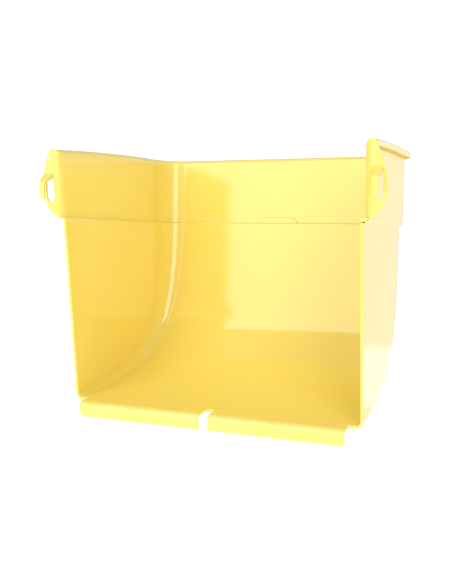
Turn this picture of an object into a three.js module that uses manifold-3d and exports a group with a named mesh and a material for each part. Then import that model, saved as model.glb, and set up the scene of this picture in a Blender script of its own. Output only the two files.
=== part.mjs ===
// Hanging parts bin: a scoop-shaped bin, open at the front and the top, that hangs by two
// hook tongues and steadies itself on a rolled lip below its front edge.
//
// Millimetres, +Z up. +X is to the right when facing the open front and +Y runs to the back.
// The origin is the hang line: halfway between the two hooks, at the top of their slots.
//
// The bin is drawn in its own moulding frame first: z = 0 is the top of the step between the
// body and the collar, y = 0 is the front edge at that height, x = 0 is the middle.

import * as THREE from "three";
import { mergeVertices } from "three/addons/utils/BufferGeometryUtils.js";
import Module from "manifold-3d";

const wasm = await Module();
wasm.setup();

// ---- driving dimensions -------------------------------------------------------------------

const bodyWidth = 250; // outside width of the body at the front edge
const bodyDepth = 174; // front edge to outside of the back, at the step
const bodyHeight = 154; // step to the underside of the floor at the front
const wall = 2.4; // wall thickness everywhere
const seam = 0.3; // clearance between neighbouring sections of the moulding
const wallDraft = 0.04; // how much each side closes in per millimetre of depth
const frontSlant = 0.128; // how much the front edge falls back per millimetre of height

const backCornerRadius = 22; // outside corner between side and back, at the step
const frontCornerRadius = 6; // outside corner between side and floor, at the front edge

const collarOffset = 3; // how far the collar stands out from the body
const rimFrontHeight = 54.5; // top of the rim above the step, at the front
const rimBackHeight = 61.5; // top of the rim above the step, at the back
const rimReach = 5.7; // how far the rim stands out from the collar
const rimDrop = 4.5; // height of the rolled rim

const earTop = 54.5; // top of the ears above the step
const earReach = 142.3; // outermost point of the ears from the middle
const earWidestHeight = 21; // height of that outermost point above the step
const earNeckReach = 134; // where the ear's edge meets its rounded top, from the middle
const earBend = 8; // inside radius of the bend from the collar wall into the ear
const slotInside = 131.5; // slot edges, from the middle
const slotOutside = 139;
const slotBottom = 12.5; // slot ends above the step
const slotTop = 36;

const hookWidth = 4.2; // width of the hook's straight end
const hookBendEnd = 25; // the hook hangs straight and narrow below this height above the step
const hookReach = 11; // how far the hook stands in front of the ear
const hookTip = 14.5; // height of the hook's free end above the step

const lipLength = 227; // full length of the front lip, over both halves
const lipReach = 12.3; // how far the lip comes forward of the floor's front edge
const lipDrop = 11.4; // how far the lip hangs below the floor
const lipRadius = 5; // outside radius of the rolled edge
const notchWidth = 8; // gap between the two halves of the lip

const tabWidth = 40; // raised tab in the middle of the back ledge
const tabHeight = 5.6;

const yellow = 0xf8d94e;

// ---- derived sizes ------------------------------------------------------------------------

const halfWidth = bodyWidth / 2;
const halfSeam = seam / 2;
const ledgeUnderside = -wall;
const collarInside = collarOffset - wall; // from the body's outer face to the collar's inner face
const collarFront = earBend + seam; // the side collars start behind the ears' bends

// ---- small helpers ------------------------------------------------------------------------

const vec = (x, y, z) => new THREE.Vector3(x, y, z);
const span = (count) => Array.from({ length: count + 1 }, (_, i) => i / count);
const between = (a, b, t) => a + (b - a) * t;

// The front edges of the walls lie in one plane that leans towards the top.
const frontAt = (z) => -frontSlant * z;

// The rim climbs from the front in a curve that levels out at the back.
const rimTopAt = (y) => {
  const remaining = 1 - Math.min(y / bodyDepth, 1);
  return rimBackHeight - (rimBackHeight - rimFrontHeight) * remaining ** 2;
};

// Closed solid through a row of rings that all have the same number of points.
function loft(rings) {
  const size = rings[0].length;
  const positions = rings.flat().flatMap((point) => [point.x, point.y, point.z]);
  const index = [];
  for (let row = 0; row < rings.length - 1; row += 1) {
    for (let i = 0; i < size; i += 1) {
      const a = row * size + i;
      const b = row * size + ((i + 1) % size);
      index.push(a, b, a + size, b, b + size, a + size);
    }
  }
  const flat = ringInItsPlane(rings[0]);
  const last = (rings.length - 1) * size;
  for (const [a, b, c] of THREE.ShapeUtils.triangulateShape(flat, [])) {
    index.push(a, c, b);
    index.push(last + a, last + b, last + c);
  }
  const geometry = new THREE.BufferGeometry();
  geometry.setAttribute("position", new THREE.Float32BufferAttribute(positions, 3));
  geometry.setIndex(index);
  return facingOut(geometry);
}

// The ring's points as 2-D points in its own plane, for the triangulation of an end cap.
function ringInItsPlane(ring) {
  const normal = ring.reduce((sum, point, i) => {
    const next = ring[(i + 1) % ring.length];
    return sum.add(point.clone().cross(next));
  }, vec(0, 0, 0)).normalize();
  const across = ring[1].clone().sub(ring[0]).normalize();
  const up = normal.clone().cross(across);
  return ring.map((point) => new THREE.Vector2(point.dot(across), point.dot(up)));
}

// Turns a closed mesh inside out if its signed volume is negative.
function facingOut(geometry) {
  const points = geometry.attributes.position;
  const index = geometry.index;
  const corner = (i) => vec(0, 0, 0).fromBufferAttribute(points, index.getX(i));
  let volume = 0;
  for (let i = 0; i < index.count; i += 3) {
    volume += corner(i).dot(corner(i + 1).cross(corner(i + 2)));
  }
  if (volume < 0) {
    for (let i = 0; i < index.count; i += 3) {
      const second = index.getX(i + 1);
      index.setX(i + 1, index.getX(i + 2));
      index.setX(i + 2, second);
    }
  }
  return geometry;
}

function toManifold(geometry) {
  const bare = geometry.clone();
  bare.deleteAttribute("normal");
  bare.deleteAttribute("uv");
  const merged = mergeVertices(bare, 1e-4);
  return new wasm.Manifold(new wasm.Mesh({
    numProp: 3,
    vertProperties: new Float32Array(merged.attributes.position.array),
    triVerts: new Uint32Array(merged.index.array),
  }));
}

function fromManifold(solid) {
  const mesh = solid.getMesh();
  const geometry = new THREE.BufferGeometry();
  geometry.setAttribute("position", new THREE.BufferAttribute(mesh.vertProperties, 3));
  geometry.setIndex(new THREE.BufferAttribute(mesh.triVerts, 1));
  return geometry;
}

const cut = (geometry, tool) => fromManifold(toManifold(geometry).subtract(toManifold(tool)));

// A flat outline drawn in (y, z) and given a thickness along x, from x = inner to x = outer.
function extrudeAcross(shape, inner, outer, curveSegments = 6) {
  const depth = outer - inner;
  const geometry = new THREE.ExtrudeGeometry(shape, { depth, curveSegments, bevelEnabled: false });
  const axes = new THREE.Matrix4().makeBasis(vec(0, 1, 0), vec(0, 0, 1), vec(1, 0, 0));
  return geometry.applyMatrix4(axes).translate(inner, 0, 0);
}

// ---- the scoop: back, curve and floor in one sweep ------------------------------------------

// Outside of the back and floor in the middle of the bin, as (y, z), from the step to the front.
const scoopCurve = new THREE.CubicBezierCurve(
  new THREE.Vector2(bodyDepth, 0),
  new THREE.Vector2(bodyDepth, -0.72 * bodyHeight),
  new THREE.Vector2(0.82 * bodyDepth, -0.93 * bodyHeight),
  new THREE.Vector2(frontAt(-bodyHeight), -bodyHeight),
);
const scoopLength = scoopCurve.getLength();

// Scoop positions, as fractions of the length from the step to the front edge.
const scoopStart = (wall + seam) / scoopLength;
const halfGap = halfSeam / scoopLength;
const backEnd = 0.3;
const floorStart = 0.68;

// Rings along each stretch of the scoop.
const backSteps = 5;
const scoopSteps = 10;
const floorSteps = 12;
const cornerSteps = 22;

const cornerRadiusAt = (s) => {
  const share = THREE.MathUtils.smoothstep(s, 0, 1);
  return between(backCornerRadius, frontCornerRadius, share);
};

// Point on the scoop's outside, moved towards the inside of the bin by the given depth.
function scoopPoint(s, depth) {
  const point = scoopCurve.getPointAt(s);
  const along = scoopCurve.getTangentAt(s);
  return new THREE.Vector2(point.x + along.y * depth, point.y - along.x * depth);
}

// The flat middle of the scoop between two positions along it.
function scoopPanel(from, to, steps) {
  const rings = span(steps).map((t) => {
    const s = between(from, to, t);
    const outside = scoopPoint(s, 0);
    const inside = scoopPoint(s, wall);
    const half = halfWidth - cornerRadiusAt(s) - halfSeam;
    return [
      vec(-half, outside.x, outside.y),
      vec(half, outside.x, outside.y),
      vec(half, inside.x, inside.y),
      vec(-half, inside.x, inside.y),
    ];
  });
  return loft(rings);
}

// The rounded corner that joins the scoop to one side wall, from the step to the front edge.
function scoopCorner(side) {
  const arcSteps = 5;
  const rings = span(cornerSteps).map((t) => {
    const s = between(scoopStart, 1, t);
    const radius = cornerRadiusAt(s);
    const gapAngle = halfSeam / radius;
    const arc = (r, turn) => {
      const angle = between(gapAngle, Math.PI / 2 - gapAngle, turn);
      const x = halfWidth - radius + r * Math.sin(angle);
      const spot = scoopPoint(s, radius - r * Math.cos(angle));
      return vec(side * x, spot.x, spot.y);
    };
    const outside = span(arcSteps).map((turn) => arc(radius, turn));
    const inside = span(arcSteps).map((turn) => arc(radius - wall, 1 - turn));
    return [...outside, ...inside];
  });
  return loft(rings);
}

// The flat side wall, bounded by the step, the slanting front edge and the rounded corner.
function sideWall(side) {
  const shape = new THREE.Shape();
  const rear = span(cornerSteps).map((t) => {
    const s = between(scoopStart, 1, t);
    return scoopPoint(s, cornerRadiusAt(s) + halfSeam);
  });
  const top = ledgeUnderside - seam;
  shape.moveTo(frontAt(top), top);
  shape.lineTo(rear[0].x, top);
  for (const point of rear.slice(1)) shape.lineTo(point.x, point.y);
  const outer = side * halfWidth;
  const inner = side * (halfWidth - wall);
  return extrudeAcross(shape, Math.min(outer, inner), Math.max(outer, inner));
}

function floorPanel() {
  const panel = scoopPanel(floorStart + halfGap, 1, floorSteps);
  const radius = notchWidth / 2;
  const cutDepth = 8 * wall;
  const roundness = 20;
  const notch = new THREE.CylinderGeometry(radius, radius, cutDepth, roundness);
  notch.rotateX(Math.PI).translate(0, frontAt(-bodyHeight), -bodyHeight);
  return cut(panel, notch);
}

// ---- collar and rim: sections swept around three sides --------------------------------------

// Stations along the outside of the body in plan: a point, and the direction that faces out.
function sideStations(side, startAt) {
  const end = bodyDepth - backCornerRadius - halfSeam;
  return span(6).map((t) => ({
    start: t === 0 ? startAt : null,
    at: new THREE.Vector2(side * halfWidth, end * t),
    out: new THREE.Vector2(side, 0),
  }));
}

function cornerStations(side) {
  const centre = new THREE.Vector2(side * (halfWidth - backCornerRadius), bodyDepth - backCornerRadius);
  const gapAngle = halfSeam / backCornerRadius;
  return span(7).map((t) => {
    const angle = between(gapAngle, Math.PI / 2 - gapAngle, t);
    const out = new THREE.Vector2(side * Math.cos(angle), Math.sin(angle));
    return { start: null, at: centre.clone().addScaledVector(out, backCornerRadius), out };
  });
}

function backStations() {
  const half = halfWidth - backCornerRadius - halfSeam;
  return span(1).map((t) => ({
    start: null,
    at: new THREE.Vector2(between(-half, half, t), bodyDepth),
    out: new THREE.Vector2(0, 1),
  }));
}

// Sweeps a section, whose points are [distance out from the body, height], along the stations.
// The first station of a side is trimmed to the slanting front plane.
function sweep(stations, sectionAt) {
  const rings = stations.map((station) => {
    const section = sectionAt(rimTopAt(station.at.y));
    return section.map(([out, z]) => {
      const spot = station.at.clone().addScaledVector(station.out, out);
      const y = station.start === null ? spot.y : frontAt(z) + station.start;
      return vec(spot.x, y, z);
    });
  });
  return loft(rings);
}

// The collar wall with the ledge that carries it out from the body.
const collarSection = (rimTop) => [
  [-wall, ledgeUnderside],
  [collarOffset, ledgeUnderside],
  [collarOffset, rimTop - rimDrop - seam],
  [collarInside, rimTop - rimDrop - seam],
  [collarInside, 0],
  [-wall, 0],
];

// The rolled rim: it turns out from the collar and its edge turns down again.
const rimSection = (rimTop) => {
  const outside = collarOffset + rimReach;
  const underside = rimTop - wall;
  const bottom = rimTop - rimDrop;
  const bevel = 1;
  const roll = 3; // the inner edge rolls over before it reaches the top
  return [
    [collarInside, bottom],
    [collarOffset, bottom],
    [collarOffset, underside],
    [outside - wall, underside],
    [outside - wall, bottom],
    [outside, bottom],
    [outside, rimTop - bevel],
    [outside - bevel, rimTop],
    [collarInside + roll, rimTop - bevel / 2],
    [collarInside + bevel, rimTop - roll / 2],
    [collarInside, rimTop - roll],
  ];
};

// ---- ears and hooks -------------------------------------------------------------------------

// Puts a solid drawn upright, in (x, z) with its front at y = 0, onto the slanting front plane.
function lean(geometry) {
  const shear = new THREE.Matrix4().set(1, 0, 0, 0, 0, 1, -frontSlant, 0, 0, 0, 1, 0, 0, 0, 0, 1);
  return geometry.applyMatrix4(shear);
}

// A flat outline drawn in (x, z), with its front face at y = 0 and its back at y = thickness.
function plate(shape, thickness) {
  const options = { depth: thickness, curveSegments: 8, bevelEnabled: false };
  const geometry = new THREE.ExtrudeGeometry(shape, options);
  return geometry.rotateX(Math.PI / 2).translate(0, thickness, 0);
}

// Plan of the bent flange in (x, y): the collar wall curls outwards and runs to the ear's edge.
function flangePlan() {
  const inside = halfWidth + collarInside;
  const tip = earReach + seam;
  const shape = new THREE.Shape();
  shape.moveTo(inside, earBend);
  shape.absarc(inside + earBend, earBend, earBend, Math.PI, 1.5 * Math.PI, false);
  shape.lineTo(tip, 0);
  shape.lineTo(tip, wall);
  shape.lineTo(inside + earBend, wall);
  shape.absarc(inside + earBend, earBend, earBend - wall, 1.5 * Math.PI, Math.PI, true);
  return shape;
}

// The right ear: the bent flange, trimmed to the ear's outline.
function rightEar() {
  const height = earTop - ledgeUnderside + 2 * seam;
  const options = { depth: height, curveSegments: 6, bevelEnabled: false };
  const flange = new THREE.ExtrudeGeometry(flangePlan(), options);
  flange.translate(0, 0, ledgeUnderside - seam);
  const outline = plate(earOutline(), 3 * earBend).translate(0, -earBend, 0);
  return lean(fromManifold(toManifold(flange).intersect(toManifold(outline))));
}

// Front view of the right ear, in (x, z), with the hook's slot in it.
function earOutline() {
  const inside = halfWidth + collarInside;
  const shoulder = 6; // radius of the rounded inner top corner
  const ease = 1.2; // how far the neck's small round reaches
  const lowerPull = earWidestHeight - 15;
  const upperPull = earWidestHeight + 12;
  const neckPull = earTop - 10;
  const footPull = inside + 5;
  const neckTop = earTop - ease;
  const shape = new THREE.Shape();
  shape.moveTo(inside, ledgeUnderside);
  shape.bezierCurveTo(footPull, 0, earReach, lowerPull, earReach, earWidestHeight);
  shape.bezierCurveTo(earReach, upperPull, earNeckReach + 4, neckPull, earNeckReach, neckTop);
  shape.quadraticCurveTo(earNeckReach - ease, earTop, inside + shoulder, earTop);
  shape.quadraticCurveTo(inside, earTop, inside, earTop - shoulder);
  const slot = new THREE.Path();
  const round = (slotOutside - slotInside) / 2;
  slot.absarc(slotInside + round, slotBottom + round, round, Math.PI, 2 * Math.PI, false);
  slot.lineTo(slotOutside, slotTop);
  slot.lineTo(slotInside, slotTop);
  shape.holes.push(slot);
  return shape;
}

// The right hook: a tongue that leaves the top of the slot, steps forward and hangs down.
function hookProfile() {
  const half = wall / 2;
  const bendEnd = hookBendEnd;
  const pull = 6; // how far the curves of the bend are drawn out
  const root = slotTop - seam;
  const shape = new THREE.Shape();
  shape.moveTo(wall, root);
  shape.lineTo(0, root);
  shape.bezierCurveTo(-half, root - wall, -hookReach, bendEnd + pull, -hookReach, bendEnd);
  shape.lineTo(-hookReach, hookTip + half);
  shape.absarc(-hookReach + half, hookTip + half, half, Math.PI, 2 * Math.PI, false);
  const back = wall - hookReach;
  shape.lineTo(back, bendEnd);
  shape.bezierCurveTo(back, bendEnd + pull / 2, wall, root - pull, wall, root - pull / 2);
  return shape;
}

// The tongue widens from its straight end to its root, where it fills the top of the slot.
function rightHook() {
  const middle = (slotInside + slotOutside) / 2;
  const rootWidth = slotOutside - slotInside - 2 * seam;
  const geometry = extrudeAcross(hookProfile(), middle - hookWidth / 2, middle + hookWidth / 2);
  const points = geometry.attributes.position;
  for (let i = 0; i < points.count; i += 1) {
    const share = Math.max((points.getZ(i) - hookBendEnd) / (slotTop - seam - hookBendEnd), 0);
    const widening = between(1, rootWidth / hookWidth, share);
    points.setX(i, middle + (points.getX(i) - middle) * widening);
  }
  return lean(geometry);
}

// ---- front lip and ledge tab ----------------------------------------------------------------

// Section of the lip in (y, z): it leaves the floor, rolls over and hangs down.
function lipProfile() {
  const back = frontAt(-bodyHeight) - seam;
  const front = back + seam - lipReach;
  const top = -bodyHeight + wall;
  const bottom = -bodyHeight - lipDrop;
  const hem = front + frontSlant * lipDrop;
  const inner = lipRadius - wall;
  const shape = new THREE.Shape();
  shape.moveTo(back, top);
  shape.lineTo(front + lipRadius, top);
  shape.absarc(front + lipRadius, top - lipRadius, lipRadius, Math.PI / 2, Math.PI, false);
  shape.lineTo(hem, bottom);
  shape.lineTo(hem + wall, bottom);
  shape.lineTo(front + wall, top - lipRadius);
  shape.absarc(front + lipRadius, top - lipRadius, inner, Math.PI, Math.PI / 2, true);
  shape.lineTo(back, top - wall);
  return shape;
}

const rightLip = () => extrudeAcross(lipProfile(), notchWidth / 2, lipLength / 2);

// A low tab with rounded ends, standing on the ledge against the back of the collar.
function ledgeTab() {
  const half = tabWidth / 2;
  const crown = half - 9; // half the length of the tab's straight top
  const shape = new THREE.Shape();
  shape.moveTo(-half, seam);
  shape.lineTo(half, seam);
  shape.quadraticCurveTo(half - 1, tabHeight, crown, tabHeight);
  shape.lineTo(-crown, tabHeight);
  shape.quadraticCurveTo(1 - half, tabHeight, -half, seam);
  const back = bodyDepth + collarInside - seam;
  return plate(shape, wall).translate(0, back - wall, 0);
}

// ---- assembly -------------------------------------------------------------------------------

// The other hand of a solid, mirrored in x.
function mirrored(geometry) {
  const plain = geometry.index ? geometry.clone() : mergeVertices(geometry, 1e-4);
  return facingOut(plain.applyMatrix4(new THREE.Matrix4().makeScale(-1, 1, 1)));
}

// Closes the sides in towards the back, so that the bin leaves its mould.
function drafted(geometry) {
  const points = geometry.attributes.position;
  for (let i = 0; i < points.count; i += 1) {
    const squeeze = 1 - (wallDraft * points.getY(i)) / halfWidth;
    points.setX(i, points.getX(i) * squeeze);
  }
  return geometry;
}

const bin = new THREE.Group();

function add(name, geometry) {
  const material = new THREE.MeshStandardMaterial({ color: yellow, roughness: 0.22, metalness: 0 });
  const mesh = new THREE.Mesh(drafted(geometry), material);
  mesh.name = name;
  bin.add(mesh);
}

const sides = [["left", -1], ["right", 1]];
const handed = (side, geometry) => (side > 0 ? geometry : mirrored(geometry));

add("back_panel", scoopPanel(scoopStart, backEnd - halfGap, backSteps));
add("scoop_panel", scoopPanel(backEnd + halfGap, floorStart - halfGap, scoopSteps));
add("floor_panel", floorPanel());
add("back_collar", sweep(backStations(), collarSection));
add("back_rim", sweep(backStations(), rimSection));
add("ledge_tab", ledgeTab());

for (const [hand, side] of sides) {
  add(`${hand}_side_wall`, sideWall(side));
  add(`${hand}_corner`, scoopCorner(side));
  add(`${hand}_collar`, sweep(sideStations(side, collarFront), collarSection));
  add(`${hand}_collar_corner`, sweep(cornerStations(side), collarSection));
  add(`${hand}_rim`, sweep(sideStations(side, collarFront), rimSection));
  add(`${hand}_rim_corner`, sweep(cornerStations(side), rimSection));
  add(`${hand}_ear`, handed(side, rightEar()));
  add(`${hand}_hook`, handed(side, rightHook()));
  add(`${hand}_lip`, handed(side, rightLip()));
}

// Moves the bin so that the hang line is the origin.
bin.position.set(0, -frontAt(slotTop), -slotTop);

const part = new THREE.Group();
part.add(bin);

export default part;
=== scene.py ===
"""Looks of the hanging parts bin: a one-piece glossy yellow moulding, drawn smooth around the frame.

Lengths are millimetres in the moulding's own frame until placed() turns them into metres of the
row frame: z = 0 is the top of the step between body and collar, y = 0 is the front edge at that
height, x = 0 is the middle. Every CAD section is replaced by one piece of the same shape with
its fillets, rolls and rounded edges, and neighbouring pieces meet without a gap.
"""
import math

import bmesh
import bpy
import numpy as np
from mathutils import Matrix, Vector
from mathutils.geometry import tessellate_polygon


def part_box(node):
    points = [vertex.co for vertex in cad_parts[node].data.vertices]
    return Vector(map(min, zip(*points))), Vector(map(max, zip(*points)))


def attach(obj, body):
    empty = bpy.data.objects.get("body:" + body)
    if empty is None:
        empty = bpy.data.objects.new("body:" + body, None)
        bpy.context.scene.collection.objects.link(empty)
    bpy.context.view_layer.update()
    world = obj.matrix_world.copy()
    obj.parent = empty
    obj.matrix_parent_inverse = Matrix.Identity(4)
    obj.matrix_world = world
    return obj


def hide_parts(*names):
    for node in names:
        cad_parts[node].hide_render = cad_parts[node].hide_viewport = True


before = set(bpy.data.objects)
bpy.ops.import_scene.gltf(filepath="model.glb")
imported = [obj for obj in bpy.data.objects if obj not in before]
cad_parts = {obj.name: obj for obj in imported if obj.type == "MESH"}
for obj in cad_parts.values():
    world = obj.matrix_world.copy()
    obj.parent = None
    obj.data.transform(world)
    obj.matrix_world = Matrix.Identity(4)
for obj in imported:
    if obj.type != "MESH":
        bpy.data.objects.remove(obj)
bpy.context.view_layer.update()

MM = 0.001

# ---- driving dimensions ---------------------------------------------------------------------

BODY_WIDTH = 250.0
BODY_DEPTH = 174.0
BODY_HEIGHT = 154.0
WALL = 2.4
WALL_DRAFT = 0.04  # how much each side closes in per millimetre of depth
FRONT_SLANT = 0.128  # how much the front edge falls back per millimetre of height
BACK_RADIUS = 22.0  # outside corner between side and back, at the step
FRONT_RADIUS = 6.0  # outside corner between side and floor, at the front edge

COLLAR_OFFSET = 3.0  # how far the collar stands out from the body
RIM_FRONT = 54.5  # top of the rim above the step, at the front
RIM_BACK = 61.5  # and at the back
RIM_REACH = 5.7  # how far the rim stands out from the collar
RIM_DROP = 4.5
RIM_ROLL = 5.0  # radius with which the collar's inner face rolls out into the rim

EAR_REACH = 142.3  # outermost point of the ears from the middle
EAR_WIDEST = 21.0  # height of that point above the step
EAR_BEND = 8.0  # inside radius of the bend from the collar into the ear
SLOT_INSIDE = 131.5  # slot edges, from the middle
SLOT_OUTSIDE = 139.0
SLOT_BOTTOM = 12.5
SLOT_TOP = 36.0

HOOK_WIDTH = 4.2  # width of the hook's straight end
HOOK_BEND_END = 25.0  # the hook hangs straight and narrow below this height
HOOK_PULL = 6.0  # how far the curves of its bend are drawn out
HOOK_REACH = 11.0  # how far the hook stands in front of the ear
HOOK_TIP = 14.5  # height of its free end above the step

LIP_LENGTH = 227.0  # full length of the lip, over both halves
LIP_REACH = 12.3  # how far it comes forward of the floor's front edge
LIP_DROP = 11.4  # how far it hangs below the floor
LIP_RADIUS = 5.0
LIP_CORNER = 3.0  # rounding of each half's outer lower corner, seen from the front
NOTCH_WIDTH = 8.0

TAB_WIDTH = 40.0
TAB_HEIGHT = 5.6

EDGE = 1.0  # rounding of the free edges of the walls
FINE_EDGE = 0.7  # rounding of the hooks and the lip's ends
SEAM_Z = -3.2  # height of the joint between the body's pieces and the collar's

# ---- derived sizes --------------------------------------------------------------------------

HALF_WIDTH = BODY_WIDTH / 2
COLLAR_INSIDE = COLLAR_OFFSET - WALL
COLLAR_FACE = HALF_WIDTH + COLLAR_INSIDE  # inner face of the side collars, from the middle
BEND_CENTRE = COLLAR_FACE + EAR_BEND
RIM_SEAM = RIM_ROLL + 0.2  # how far below its top the rim starts
BACK_END = 0.3  # places along the scoop where back, scoop and floor pieces meet
FLOOR_START = 0.68

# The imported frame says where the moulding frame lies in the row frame.
collar_low, collar_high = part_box("back_collar")
ORIGIN_Y = collar_high.y / MM - BODY_DEPTH - COLLAR_OFFSET
ORIGIN_Z = collar_low.z / MM + WALL


def placed(x, y, z):
    """A point of the moulding frame, in metres of the row frame."""
    squeeze = 1 - WALL_DRAFT * y / HALF_WIDTH
    return Vector((x * squeeze, y + ORIGIN_Y, z + ORIGIN_Z)) * MM


def between(a, b, t):
    return a + (b - a) * t


def span(count):
    return [i / count for i in range(count + 1)]


def front_at(z):
    return -FRONT_SLANT * z


def rim_top_at(y):
    return RIM_BACK - (RIM_BACK - RIM_FRONT) * (1 - min(y / BODY_DEPTH, 1)) ** 2


def bezier(points, count):
    """Points along a quadratic or cubic curve, from its control points."""
    degree = len(points) - 1
    return [
        sum(
            math.comb(degree, k) * t**k * (1 - t) ** (degree - k) * np.array(p, float)
            for k, p in enumerate(points)
        )
        for t in span(count)
    ]


# ---- outlines -------------------------------------------------------------------------------
# An outline point is (u, v, edge mark): the mark is 1 in the middle of a rounded edge and 0 on a
# face. The material makes these edges rougher, as rubbing, and paler, as a painted highlight along
# them.


def filleted(corners, steps=6):
    """Closed outline from corners (u, v, radius), each rounded with its own radius."""
    points = []
    count = len(corners)
    for i, (u, v, radius) in enumerate(corners):
        here = np.array((u, v), float)
        if radius == 0:
            points.append((u, v, 0.0))
            continue
        back = np.array(corners[i - 1][:2], float) - here
        ahead = np.array(corners[(i + 1) % count][:2], float) - here
        back /= np.linalg.norm(back)
        ahead /= np.linalg.norm(ahead)
        half = math.acos(float(np.clip(back @ ahead, -1, 1))) / 2
        middle = back + ahead
        centre = here + middle / np.linalg.norm(middle) * radius / math.sin(half)
        start = here + back * radius / math.tan(half) - centre
        end = here + ahead * radius / math.tan(half) - centre
        first = math.atan2(start[1], start[0])
        turn = (math.atan2(end[1], end[0]) - first + math.pi) % (2 * math.pi) - math.pi
        for t in span(steps):
            angle = first + turn * t
            spot = centre + radius * np.array((math.cos(angle), math.sin(angle)))
            points.append((spot[0], spot[1], math.sin(math.pi * t)))
    return points


def inward(loop):
    """Unit directions into the area on the left of a closed loop, stretched at its corners."""
    flat = np.array([p[:2] for p in loop], float)
    ahead = np.roll(flat, -1, axis=0) - flat
    ahead /= np.maximum(np.linalg.norm(ahead, axis=1, keepdims=True), 1e-9)
    left = np.stack([-ahead[:, 1], ahead[:, 0]], axis=1)
    both = left + np.roll(left, 1, axis=0)
    return 2 * both / np.maximum((both**2).sum(axis=1, keepdims=True), 0.4)


def area(loop):
    flat = np.array([p[:2] for p in loop], float)
    after = np.roll(flat, -1, axis=0)
    return float((flat[:, 0] * after[:, 1] - flat[:, 1] * after[:, 0]).sum()) / 2


def turned(loop, sign):
    """The loop, reversed if its area doesn't have that sign."""
    return loop if area(loop) * sign > 0 else loop[::-1]


# ---- meshes ---------------------------------------------------------------------------------


def new_mesh():
    made = bmesh.new()
    made.verts.layers.float.new("edge_rub_and_highlight")
    return made


def add_point(made, x, y, z, edge_rub_and_highlight=0.0):
    vert = made.verts.new((x, y, z))
    vert[made.verts.layers.float["edge_rub_and_highlight"]] = edge_rub_and_highlight
    return vert


def loft(rings):
    """Closed solid through rings of the same number of points (x, y, z, wear)."""
    made = new_mesh()
    rows = [[add_point(made, *point) for point in ring] for ring in rings]
    size = len(rows[0])
    for row, following in zip(rows, rows[1:]):
        for i in range(size):
            j = (i + 1) % size
            made.faces.new((row[i], row[j], following[j], following[i]))
    made.faces.new(rows[0])
    made.faces.new(rows[-1][::-1])
    return made


def rounded_plate(outline, holes, thickness, steps=4):
    """Plate between w = 0 and w = thickness. Loops are (u, v, rounding) points."""
    loops = [turned(outline, 1)] + [turned(hole, -1) for hole in holes]
    layers = [(t, 0) for t in span(steps)] + [(1 - t, 1) for t in span(steps)]
    made = new_mesh()
    caps = {0: [], len(layers) - 1: []}
    for loop in loops:
        into = inward(loop)
        rows = []
        for level, (t, far) in enumerate(layers):
            lean = t * math.pi / 2
            row = []
            for (u, v, rounding), push in zip(loop, into):
                inset = rounding * (1 - math.sin(lean))
                depth = rounding * (1 - math.cos(lean))
                w = thickness - depth if far else depth
                rub_and_highlight = math.sin(2 * lean) if rounding else 0.0
                row.append(add_point(made, u + push[0] * inset, v + push[1] * inset, w, rub_and_highlight))
            rows.append(row)
            if level in caps:
                caps[level].append(row)
        for row, following in zip(rows, rows[1:]):
            for i in range(len(row)):
                j = (i + 1) % len(row)
                made.faces.new((row[i], row[j], following[j], following[i]))
    for rows in caps.values():
        flat = [[vert.co.copy() for vert in row] for row in rows]
        verts = [vert for row in rows for vert in row]
        for triangle in tessellate_polygon(flat):
            made.faces.new([verts[i] for i in triangle])
    return made


def cut_at(made, axis, places, keep_above=None):
    """Cuts a mesh across an axis at each place, and drops what lies below keep_above."""
    normal = Vector((0, 0, 0))
    normal[axis] = 1
    for place in places:
        parts = made.verts[:] + made.edges[:] + made.faces[:]
        drop = keep_above is not None and place == keep_above
        bmesh.ops.bisect_plane(
            made, geom=parts, dist=1e-5, plane_co=normal * place, plane_no=normal, clear_inner=drop
        )
        if drop:
            open_edges = [edge for edge in made.edges if edge.is_boundary]
            bmesh.ops.holes_fill(made, edges=open_edges, sides=0)


def bent(made, rule):
    """Moves every point of a mesh by a rule."""
    for vert in made.verts:
        vert.co = Vector(rule(*vert.co))
    return made


def add_piece(node, made, material, side=1):
    """Turns a mesh of the moulding frame into the piece that stands for a CAD node."""
    bmesh.ops.remove_doubles(made, verts=made.verts[:], dist=0.004)
    bmesh.ops.dissolve_degenerate(made, edges=made.edges[:], dist=0.002)
    for vert in made.verts:
        vert.co = placed(side * vert.co.x, vert.co.y, vert.co.z)
    bmesh.ops.recalc_face_normals(made, faces=made.faces[:])
    mesh = bpy.data.meshes.new(node + "_moulding")
    made.to_mesh(mesh)
    made.free()
    mesh.shade_smooth()
    mesh.set_sharp_from_angle(angle=math.radians(38))
    mesh.materials.append(material)
    piece = bpy.data.objects.new(mesh.name, mesh)
    bpy.context.scene.collection.objects.link(piece)
    weighted = piece.modifiers.new("even faces", "WEIGHTED_NORMAL")
    weighted.keep_sharp = True
    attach(piece, "root")
    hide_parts(node)
    return piece


# ---- the scoop ------------------------------------------------------------------------------


class Scoop:
    """Outside of the back and floor in (y, z), by the share of its length from the step."""

    controls = [
        (BODY_DEPTH, 0),
        (BODY_DEPTH, -0.72 * BODY_HEIGHT),
        (0.82 * BODY_DEPTH, -0.93 * BODY_HEIGHT),
        (front_at(-BODY_HEIGHT), -BODY_HEIGHT),
    ]
    line = np.array(bezier(controls, 600))
    steps = np.linalg.norm(np.diff(line, axis=0), axis=1)
    length = float(steps.sum())
    places = np.concatenate([[0], np.cumsum(steps)]) / length
    slopes = np.gradient(line, places, axis=0)

    @classmethod
    def at(cls, s, depth):
        """The point at s, moved into the bin by depth."""
        y, z = (np.interp(s, cls.places, cls.line[:, k]) for k in (0, 1))
        along = np.array([np.interp(s, cls.places, cls.slopes[:, k]) for k in (0, 1)])
        along /= np.linalg.norm(along)
        return y + along[1] * depth, z - along[0] * depth


SCOOP_TOP = -SEAM_Z / Scoop.length


def corner_radius(s):
    ease = s * s * (3 - 2 * s)
    return between(BACK_RADIUS, FRONT_RADIUS, ease)


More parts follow.
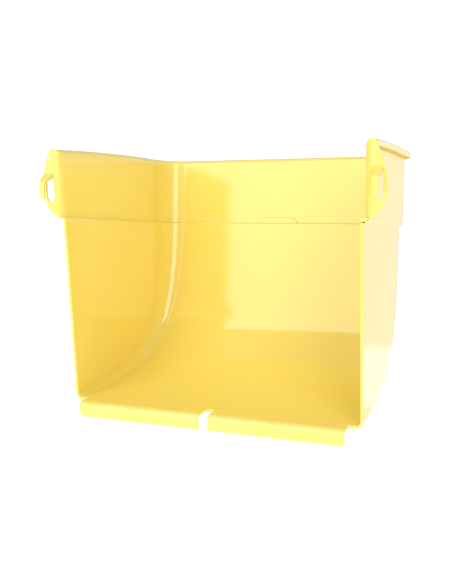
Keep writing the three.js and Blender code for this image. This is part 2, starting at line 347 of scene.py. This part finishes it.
def edge_inset(distance, rounding=EDGE):
    """How far a wall's face draws back at this distance from its rounded free edge."""
    if distance >= rounding:
        return 0.0
    return rounding - math.sqrt(rounding**2 - (rounding - distance) ** 2)


def edge_distances(rounding=EDGE, steps=5):
    """Distances from a rounded free edge, closest together at the edge."""
    return [rounding * (1 - math.cos(math.pi / 2 * t)) for t in span(steps)]


def scoop_places(start, end, steps, free_end=False):
    """Places along the scoop, with extra ones in the rounding of a free end."""
    if not free_end:
        return [between(start, end, t) for t in span(steps)]
    near = [1 - d / Scoop.length for d in edge_distances()][::-1]
    return [between(start, near[0], t) for t in span(steps)][:-1] + near


def scoop_panel(start, end, steps):
    """The flat middle of the scoop between two places along it."""
    rings = []
    for s in scoop_places(start, end, steps):
        half = HALF_WIDTH - corner_radius(s)
        outside = Scoop.at(s, 0)
        inside = Scoop.at(s, WALL)
        if s == SCOOP_TOP:
            outside, inside = (BODY_DEPTH, SEAM_Z), (BODY_DEPTH - WALL, SEAM_Z)
        ring = [(x * half, *outside, 0) for x in (-1, -0.5, 0, 0.5, 1)]
        ring += [(x * half, *inside, 0) for x in (1, 0.5, 0, -0.5, -1)]
        rings.append(ring)
    return loft(rings)


def scoop_corner():
    """The rounded corner that joins the scoop to the right side wall."""
    rings = []
    for s in scoop_places(SCOOP_TOP, 1, 60, free_end=True):
        radius = corner_radius(s)
        ends_in = (1 - s) * Scoop.length
        inset = edge_inset(ends_in)
        rub_and_highlight = 1 - ends_in / EDGE if ends_in < EDGE else 0.0

        def arc(reach, turn):
            angle = turn * math.pi / 2
            x = HALF_WIDTH - radius + reach * math.sin(angle)
            y, z = Scoop.at(s, radius - reach * math.cos(angle))
            if s == SCOOP_TOP:
                y, z = BODY_DEPTH - radius + reach * math.cos(angle), SEAM_Z
            return x, y, z, rub_and_highlight

        turns = span(14)
        outside = [arc(radius - inset, turn) for turn in turns]
        inside = [arc(radius - WALL + inset, 1 - turn) for turn in turns]
        rings.append(outside + inside)
    return loft(rings)


def side_wall():
    """The flat right side wall, from its rounded front edge back to the scoop's corner."""
    foot = Scoop.at(1, FRONT_RADIUS)
    head = (front_at(SEAM_Z), SEAM_Z)
    rings = []
    for s in scoop_places(SCOOP_TOP, 1, 60, free_end=True):
        rear_y, z = Scoop.at(s, corner_radius(s))
        if s == SCOOP_TOP:
            rear_y, z = BODY_DEPTH - BACK_RADIUS, SEAM_Z
        front_y = between(head[0], foot[0], (z - head[1]) / (foot[1] - head[1]))
        room = max(rear_y - front_y, 0.0)
        steps = [min(d, room) for d in edge_distances()]
        steps += [between(steps[-1], room, t) for t in span(8)][1:]
        ring = []
        for sign in (1, -1):
            for distance in steps if sign < 0 else steps[::-1]:
                inset = edge_inset(distance)
                x = HALF_WIDTH - inset if sign > 0 else HALF_WIDTH - WALL + inset
                rub_and_highlight = max(0.0, 1 - distance / EDGE)
                ring.append((x, front_y + distance, z, rub_and_highlight))
        rings.append(ring)
    return loft(rings)


def floor_panel():
    """The floor, with the arched top of the lip's notch cut into its front edge."""
    length = (1 - FLOOR_START) * Scoop.length
    half = HALF_WIDTH - FRONT_RADIUS
    notch = NOTCH_WIDTH / 2
    lip_end = LIP_LENGTH / 2
    arch = [
        (notch * math.cos(math.pi * t), notch * math.sin(math.pi * t), FINE_EDGE)
        for t in span(16)
    ]
    spare = half + 2  # drawn wider than the floor, then cut to its width
    outline = [(spare, 0, EDGE), (lip_end + EDGE, 0, EDGE), (lip_end, 0, 0)]
    outline += [(notch + EDGE, 0, 0)] + arch + [(-notch - EDGE, 0, 0)]
    outline += [(-lip_end, 0, 0), (-lip_end - EDGE, 0, EDGE), (-spare, 0, EDGE)]
    outline += [(-spare, length, 0), (spare, length, 0)]
    made = rounded_plate(outline, [], WALL)
    cut_at(made, 0, [-half], keep_above=-half)
    bent(made, lambda u, v, w: (-u, v, w))
    cut_at(made, 0, [-half], keep_above=-half)
    cut_at(made, 1, [length * t for t in span(20)][1:-1])

    def onto_scoop(u, v, w):
        s = 1 - v / Scoop.length
        spread = HALF_WIDTH - corner_radius(s) - half
        share = max(0.0, (abs(u) - 2 * notch) / (half - 2 * notch))
        y, z = Scoop.at(s, w)
        return u + math.copysign(share, u) * spread, y, z

    return bent(made, onto_scoop)


# ---- collar and rim -------------------------------------------------------------------------


def collar_section(rim_top):
    """Wall and ledge of the collar, as (distance out from the body, z, wear)."""
    top = rim_top - RIM_SEAM
    return filleted([
        (-WALL, SEAM_Z, 0),
        (-WALL, 0, 1.2),
        (COLLAR_INSIDE, 0, 1.0),
        (COLLAR_INSIDE, top, 0),
        (COLLAR_OFFSET, top, 0),
        (COLLAR_OFFSET, -WALL, 1.4),
        (0, -WALL, 0.8),
        (0, SEAM_Z, 0),
    ])


def rim_section(rim_top):
    """The rolled rim, as (distance out from the body, z, wear)."""
    outside = COLLAR_OFFSET + RIM_REACH
    under = rim_top - WALL - 0.2
    bottom = rim_top - RIM_DROP
    return filleted([
        (COLLAR_INSIDE, rim_top - RIM_SEAM, 0),
        (COLLAR_INSIDE, rim_top, RIM_ROLL),
        (outside, rim_top, 1.8),
        (outside, bottom, 1.0),
        (outside - WALL, bottom, 0.8),
        (outside - WALL, under, 0.6),
        (COLLAR_OFFSET, under, 0.8),
        (COLLAR_OFFSET, rim_top - RIM_SEAM, 0),
    ], steps=8)


def side_rings(section_at, front_place, steps=16):
    """Rings along the right side, from the back corner to a front given as y of (x, z)."""
    rear = BODY_DEPTH - BACK_RADIUS
    rings = []
    for t in span(steps):
        ring = []
        for out, z, rub_and_highlight in section_at(rim_top_at(rear * (1 - t))):
            x = HALF_WIDTH + out
            ring.append((x, between(rear, front_place(x, z), t), z, rub_and_highlight))
        rings.append(ring)
    return rings


def corner_rings(section_at, steps=14):
    """Rings round the right back corner."""
    centre_x = HALF_WIDTH - BACK_RADIUS
    centre_y = BODY_DEPTH - BACK_RADIUS
    rings = []
    for t in span(steps):
        angle = t * math.pi / 2
        section = section_at(rim_top_at(centre_y + BACK_RADIUS * math.sin(angle)))
        rings.append([
            (
                centre_x + (BACK_RADIUS + out) * math.cos(angle),
                centre_y + (BACK_RADIUS + out) * math.sin(angle),
                z,
                rub_and_highlight,
            )
            for out, z, rub_and_highlight in section
        ])
    return rings


def back_rings(section_at):
    """Rings across the back."""
    half = HALF_WIDTH - BACK_RADIUS
    section = section_at(rim_top_at(BODY_DEPTH))
    return [
        [(x * half, BODY_DEPTH + out, z, rub_and_highlight) for out, z, rub_and_highlight in section]
        for x in (-1, -0.5, 0, 0.5, 1)
    ]


def collar_front(x, z):
    """The side collars end where the bend of the ears begins."""
    return front_at(z) + EAR_BEND


def bend_face(x):
    """How far the front face of an ear's bend lies behind the front plane, at this x."""
    if x >= BEND_CENTRE:
        return 0.0
    return EAR_BEND - math.sqrt(max(EAR_BEND**2 - (BEND_CENTRE - x) ** 2, 0.0))


def rim_front(x, z):
    """The side rims run forward until they meet the middle of the ear's thickness."""
    return front_at(z) + bend_face(x) + WALL / 2


def side_collar():
    """The side collar, whose ledge runs on as a web under the bend of the ear."""
    rings = side_rings(collar_section, collar_front)
    section = collar_section(rim_top_at(0))
    widest = math.radians(65)
    for t in span(8):
        ring = []
        for out, z, rub_and_highlight in section:
            angle = widest * t
            reach = EAR_BEND - max(out - COLLAR_INSIDE, 0.0)
            share = min((out + WALL) / COLLAR_OFFSET, 1.0)
            inner = (HALF_WIDTH - WALL, EAR_BEND * (1 - t))
            outer = (
                BEND_CENTRE - reach * math.cos(angle),
                EAR_BEND - reach * math.sin(angle),
            )
            height = min(z, 0.0) * (1 - t * share)
            x = between(inner[0], outer[0], share)
            y = between(inner[1], outer[1], share)
            ring.append((x, y + front_at(height), height, rub_and_highlight))
        rings.append(ring)
    return loft(rings)


# ---- ears, hooks, lips and tab --------------------------------------------------------------

BEND_LENGTH = (EAR_BEND - WALL / 2) * math.pi / 2


def along_flange(x):
    """How far along the bent flange its front face reaches this x."""
    if x >= BEND_CENTRE:
        return BEND_LENGTH + x - BEND_CENTRE
    angle = math.acos(min((BEND_CENTRE - x) / EAR_BEND, 1.0))
    return (EAR_BEND - WALL / 2) * angle


def ear_outline():
    """The right ear's edge from the front, as (x, z), from its foot round to the rim's roll."""
    top = rim_top_at(WALL / 2)
    roll = COLLAR_FACE + RIM_ROLL
    lower = bezier(
        [
            (COLLAR_FACE, -WALL),
            (HALF_WIDTH + 6, 2 - WALL),
            (EAR_REACH, 6),
            (EAR_REACH, EAR_WIDEST),
        ],
        20,
    )
    upper = bezier(
        [
            (EAR_REACH, EAR_WIDEST),
            (EAR_REACH, 33),
            (HALF_WIDTH + 13, 44),
            (HALF_WIDTH + 9.3, top - 2.2),
        ],
        14,
    )
    shoulder = bezier(
        [
            (HALF_WIDTH + 9.3, top - 2.2),
            (HALF_WIDTH + 8.4, top),
            (HALF_WIDTH + 6.6, top),
        ],
        6,
    )
    rolled = [
        (roll - RIM_ROLL * math.sin(a), top - RIM_ROLL * (1 - math.cos(a)))
        for a in (math.pi / 2 * t for t in span(8))
    ]
    return lower + upper[1:] + shoulder[1:] + rolled


def ear():
    """The right ear: a flange bent out from the collar, with the hook's slot in it."""
    edge = [(along_flange(x), z, 0.9) for x, z in ear_outline()]
    past_seam = -2
    edge += [(past_seam, edge[-1][1], 0.9), (past_seam, edge[0][1], 0.9)]
    round_end = (SLOT_OUTSIDE - SLOT_INSIDE) / 2
    slot = [
        (
            SLOT_INSIDE + round_end * (1 - math.cos(math.pi * t)),
            SLOT_BOTTOM + round_end * (1 - math.sin(math.pi * t)),
        )
        for t in span(14)
    ]
    slot += [(SLOT_OUTSIDE, SLOT_TOP), (SLOT_INSIDE, SLOT_TOP)]
    hole = [(along_flange(x), z, 0.6 if z < SLOT_TOP else 0.02) for x, z in slot]
    made = rounded_plate(edge, [hole], WALL)
    cut_at(made, 0, [BEND_LENGTH * t for t in span(12)], keep_above=0)

    def round_bend(u, v, w):
        if u >= BEND_LENGTH:
            return BEND_CENTRE + u - BEND_LENGTH, w + front_at(v), v
        angle = u / (EAR_BEND - WALL / 2)
        x = BEND_CENTRE - (EAR_BEND - w) * math.cos(angle)
        y = EAR_BEND - (EAR_BEND - w) * math.sin(angle)
        return x, y + front_at(v), v

    return bent(made, round_bend)


def hook():
    """The right hook: a tongue that leaves the top of the slot, steps forward and hangs down."""
    half = WALL / 2
    root = SLOT_TOP + 1.5
    inside = WALL - HOOK_REACH
    front = bezier(
        [
            (0.05, SLOT_TOP),
            (-half, SLOT_TOP - WALL),
            (-HOOK_REACH, HOOK_BEND_END + HOOK_PULL),
            (-HOOK_REACH, HOOK_BEND_END),
        ],
        14,
    )
    tip = [
        (half - HOOK_REACH - half * math.cos(a), HOOK_TIP + half - half * math.sin(a))
        for a in (math.pi * t for t in span(8))
    ]
    back = bezier(
        [
            (inside, HOOK_BEND_END),
            (inside, HOOK_BEND_END + HOOK_PULL / 2),
            (WALL, SLOT_TOP - HOOK_PULL),
            (WALL - 0.05, SLOT_TOP - HOOK_PULL / 2),
        ],
        14,
    )
    profile = [(0.05, root)] + front + tip + back + [(WALL - 0.05, root)]
    made = rounded_plate([(y, z, FINE_EDGE) for y, z in profile], [], HOOK_WIDTH)
    middle = (SLOT_INSIDE + SLOT_OUTSIDE) / 2
    root_widening = (SLOT_OUTSIDE - SLOT_INSIDE + 0.2) / HOOK_WIDTH

    def widened(u, v, w):
        share = min(max((v - HOOK_BEND_END) / (SLOT_TOP - HOOK_BEND_END), 0.0), 1.0)
        widening = between(1, root_widening, share)
        return middle + (w - HOOK_WIDTH / 2) * widening, u + front_at(v), v

    return bent(made, widened)


def lip_section(drop_share):
    """Section of the lip in (y, z): it leaves the floor, rolls over and hangs down."""
    back_y, back_top = Scoop.at(1, WALL)
    under_y, under_z = Scoop.at(1, 0)
    fall = (Scoop.at(0.98, WALL)[1] - back_top) / (Scoop.at(0.98, WALL)[0] - back_y)
    front = under_y - LIP_REACH
    bottom = -BODY_HEIGHT - LIP_DROP
    hem = front + FRONT_SLANT * LIP_DROP
    turn = -BODY_HEIGHT - 3
    hem_z = between(turn, bottom, drop_share)
    return filleted([
        (back_y, back_top, 0),
        (front - 0.8, back_top - fall * (back_y - front), LIP_RADIUS),
        (hem, hem_z, 1.1),
        (hem + WALL, hem_z, 1.1),
        (front - 0.8 + WALL, under_z - fall * (under_y - front - WALL), LIP_RADIUS - WALL),
        (under_y, under_z, 0),
    ], steps=8)


def lip():
    """The right half of the front lip, with its ends and outer corner rounded."""
    inner = NOTCH_WIDTH / 2
    outer = LIP_LENGTH / 2
    ends = [d for d in edge_distances(FINE_EDGE, 4)]
    places = [(inner + d, d) for d in ends]
    places += [(between(inner + FINE_EDGE, outer - LIP_CORNER, t), EDGE) for t in span(6)][1:]
    curve = [LIP_CORNER * math.cos(math.pi / 2 * t) for t in span(8)][1:]
    places += [(outer - c, c) for c in curve if c > FINE_EDGE]
    places += [(outer - d, d) for d in ends[::-1]]
    rings = []
    for x, distance in places:
        past = max(x - (outer - LIP_CORNER), 0.0)
        raised = LIP_CORNER - math.sqrt(LIP_CORNER**2 - past**2)
        section = lip_section(1 - raised / (LIP_DROP - 3))
        inset = edge_inset(distance, FINE_EDGE)
        into = inward(section) * math.copysign(1, area(section))
        rub_and_highlight = max(0.0, 1 - distance / FINE_EDGE)
        rings.append([
            (x, y + push[0] * inset, z + push[1] * inset, max(edge_rub_and_highlight, rub_and_highlight))
            for (y, z, edge_rub_and_highlight), push in zip(section, into)
        ])
    return loft(rings)


def ledge_tab():
    """A low tab with rounded ends, standing on the ledge against the back of the collar."""
    half = TAB_WIDTH / 2
    right = bezier([(half, -0.3), (half - 1, TAB_HEIGHT), (half - 9, TAB_HEIGHT)], 10)
    outline = [(x, z, 0.9) for x, z in right]
    outline += [(-x, z, 0.9) for x, z in right[::-1]]
    back = BODY_DEPTH + COLLAR_INSIDE + 0.2
    made = rounded_plate(outline, [], WALL)
    return bent(made, lambda u, v, w: (u, back - WALL + w, v))


# ---- material -------------------------------------------------------------------------------


def yellow_plastic():
    """Glossy injection-moulded plastic: slight colour drift, soft gloss changes, rubbed edges that
    are rougher and painted paler as an edge highlight.
    """
    material = bpy.data.materials.new("yellow_plastic")
    material.use_nodes = True
    nodes, links = material.node_tree.nodes, material.node_tree.links
    shader = nodes["Principled BSDF"]
    shader.inputs["IOR"].default_value = 1.65  # above plastic's usual 1.5, tuned for the reflections
    shader.inputs["Subsurface Weight"].default_value = 0.0

    place = nodes.new("ShaderNodeTexCoord")

    def noise(scale, detail):
        node = nodes.new("ShaderNodeTexNoise")
        node.inputs["Scale"].default_value = scale
        node.inputs["Detail"].default_value = detail
        links.new(place.outputs["Object"], node.inputs["Vector"])
        return node.outputs["Fac"]

    def ranged(value, low, high, from_low=0.3, from_high=0.7):
        node = nodes.new("ShaderNodeMapRange")
        node.inputs["From Min"].default_value = from_low
        node.inputs["From Max"].default_value = from_high
        node.inputs["To Min"].default_value = low
        node.inputs["To Max"].default_value = high
        links.new(value, node.inputs["Value"])
        return node.outputs["Result"]

    def mixed(share, first, second):
        node = nodes.new("ShaderNodeMix")
        node.data_type = "RGBA"
        links.new(share, node.inputs["Factor"])
        for socket, colour in ((6, first), (7, second)):
            if isinstance(colour, tuple):
                node.inputs[socket].default_value = (*colour, 1)
            else:
                links.new(colour, node.inputs[socket])
        return node.outputs[2]

    def multiplied(first, second):
        node = nodes.new("ShaderNodeMath")
        node.operation = "MULTIPLY"
        for socket, value in enumerate((first, second)):
            if isinstance(value, float):
                node.inputs[socket].default_value = value
            else:
                links.new(value, node.inputs[socket])
        return node.outputs["Value"]

    # Edge mark: rounded edges get rougher, as rubbing, and paler in colour, as a painted highlight
    # along them.
    rub_and_highlight = nodes.new("ShaderNodeAttribute")
    rub_and_highlight.attribute_name = "edge_rub_and_highlight"
    edge = multiplied(rub_and_highlight.outputs["Fac"], ranged(noise(60, 2), 0.2, 1.0, 0.35, 0.65))

    drift = mixed(ranged(noise(9, 3), 0, 1), (0.89, 0.70, 0.13), (0.92, 0.725, 0.15))
    # Painted highlight: rounded edges are mixed toward a paler yellow.
    colour = mixed(multiplied(edge, 0.3), drift, (0.97, 0.80, 0.27))
    links.new(colour, shader.inputs["Base Color"])

    gloss = nodes.new("ShaderNodeMath")
    gloss.operation = "ADD"
    links.new(ranged(noise(35, 5), 0.07, 0.13), gloss.inputs[0])
    links.new(multiplied(edge, 0.12), gloss.inputs[1])
    links.new(gloss.outputs["Value"], shader.inputs["Roughness"])

    bump = nodes.new("ShaderNodeBump")
    bump.inputs["Strength"].default_value = 0.02
    bump.inputs["Distance"].default_value = 0.0004
    links.new(noise(420, 2), bump.inputs["Height"])
    links.new(bump.outputs["Normal"], shader.inputs["Normal"])
    return material


# ---- assembly -------------------------------------------------------------------------------

plastic = yellow_plastic()

add_piece("back_panel", scoop_panel(SCOOP_TOP, BACK_END, 20), plastic)
add_piece("scoop_panel", scoop_panel(BACK_END, FLOOR_START, 28), plastic)
add_piece("floor_panel", floor_panel(), plastic)
add_piece("back_collar", loft(back_rings(collar_section)), plastic)
add_piece("back_rim", loft(back_rings(rim_section)), plastic)
add_piece("ledge_tab", ledge_tab(), plastic)

for hand, side in (("left", -1), ("right", 1)):
    add_piece(f"{hand}_side_wall", side_wall(), plastic, side)
    add_piece(f"{hand}_corner", scoop_corner(), plastic, side)
    add_piece(f"{hand}_collar", side_collar(), plastic, side)
    add_piece(f"{hand}_collar_corner", loft(corner_rings(collar_section)), plastic, side)
    add_piece(f"{hand}_rim", loft(side_rings(rim_section, rim_front)), plastic, side)
    add_piece(f"{hand}_rim_corner", loft(corner_rings(rim_section)), plastic, side)
    add_piece(f"{hand}_ear", ear(), plastic, side)
    add_piece(f"{hand}_hook", hook(), plastic, side)
    add_piece(f"{hand}_lip", lip(), plastic, side)

# ---- camera ---------------------------------------------------------------------------------

LENS = 50.39
CAMERA_AT = Vector((0.264905, -0.558365, -0.052741))
CAMERA_LOOKS_AT = Vector((0.0001, 0.054608, -0.09505))
CAMERA_ROLL = math.radians(0.9)

camera_data = bpy.data.cameras.new("camera")
camera_data.lens = LENS
camera_data.sensor_width = 36
camera = bpy.data.objects.new("camera", camera_data)
bpy.context.scene.collection.objects.link(camera)
toward = (CAMERA_LOOKS_AT - CAMERA_AT).to_track_quat("-Z", "Y").to_matrix().to_4x4()
camera.matrix_world = Matrix.Translation(CAMERA_AT) @ toward @ Matrix.Rotation(CAMERA_ROLL, 4, "Z")
bpy.context.scene.camera = camera

# ---- floor and light ------------------------------------------------------------------------


def plain_floor():
    """A pale floor well below the hanging bin."""
    mesh = bpy.data.meshes.new("floor")
    made = bmesh.new()
    bmesh.ops.create_grid(made, x_segments=1, y_segments=1, size=6)
    made.to_mesh(mesh)
    made.free()
    floor = bpy.data.objects.new("floor", mesh)
    floor.location = (0, 0, -0.9)
    bpy.context.scene.collection.objects.link(floor)
    material = bpy.data.materials.new("pale_floor")
    material.use_nodes = True
    shader = material.node_tree.nodes["Principled BSDF"]
    shader.inputs["Base Color"].default_value = (0.95, 0.95, 0.95, 1)
    shader.inputs["Roughness"].default_value = 0.9
    shader.inputs["Emission Color"].default_value = (1, 1, 1, 1)
    shader.inputs["Emission Strength"].default_value = 0.6
    mesh.materials.append(material)


MIDDLE = Vector((0, 0.09, -0.08))
LAMP_DISTANCE = 1.6


def soft_light(name, turn, rise, width, height, brightness):
    """A soft box facing the bin; turn, rise, width and height are the angles it fills, in degrees."""
    turn, rise = math.radians(turn), math.radians(rise)
    level = math.cos(rise)
    direction = Vector((math.sin(turn) * level, -math.cos(turn) * level, math.sin(rise)))
    data = bpy.data.lights.new(name, "AREA")
    data.shape = "RECTANGLE"
    data.size = 2 * LAMP_DISTANCE * math.tan(math.radians(width / 2))
    data.size_y = 2 * LAMP_DISTANCE * math.tan(math.radians(height / 2))
    data.energy = brightness * math.pi * data.size * data.size_y
    lamp = bpy.data.objects.new(name, data)
    lamp.location = MIDDLE + LAMP_DISTANCE * direction
    lamp.rotation_mode = "QUATERNION"
    lamp.rotation_quaternion = (-direction).to_track_quat("-Z", "Y")
    lamp.visible_camera = False
    bpy.context.scene.collection.objects.link(lamp)


def white_surroundings(glow, backdrop):
    """A white backdrop that lights the bin with less than the brightness it shows."""
    world = bpy.data.worlds.new("surroundings")
    world.use_nodes = True
    nodes, links = world.node_tree.nodes, world.node_tree.links
    seen = nodes.new("ShaderNodeLightPath")
    strength = nodes.new("ShaderNodeMapRange")
    strength.inputs["To Min"].default_value = glow
    strength.inputs["To Max"].default_value = backdrop
    links.new(seen.outputs["Is Camera Ray"], strength.inputs["Value"])
    nodes["Background"].inputs["Color"].default_value = (1, 1, 1, 1)
    links.new(strength.outputs["Result"], nodes["Background"].inputs["Strength"])
    bpy.context.scene.world = world


# Lamp angles and strengths were tuned by trial to one studio picture; they are not measured.
plain_floor()
white_surroundings(0.5, 1.1)
soft_light("key", -24, 24, 32, 62, 2.3)
soft_light("fill", 38, 20, 24, 50, 3.2)
soft_light("rear", 150, 10, 50, 50, 0.6)

bpy.context.scene.view_settings.view_transform = "Standard"
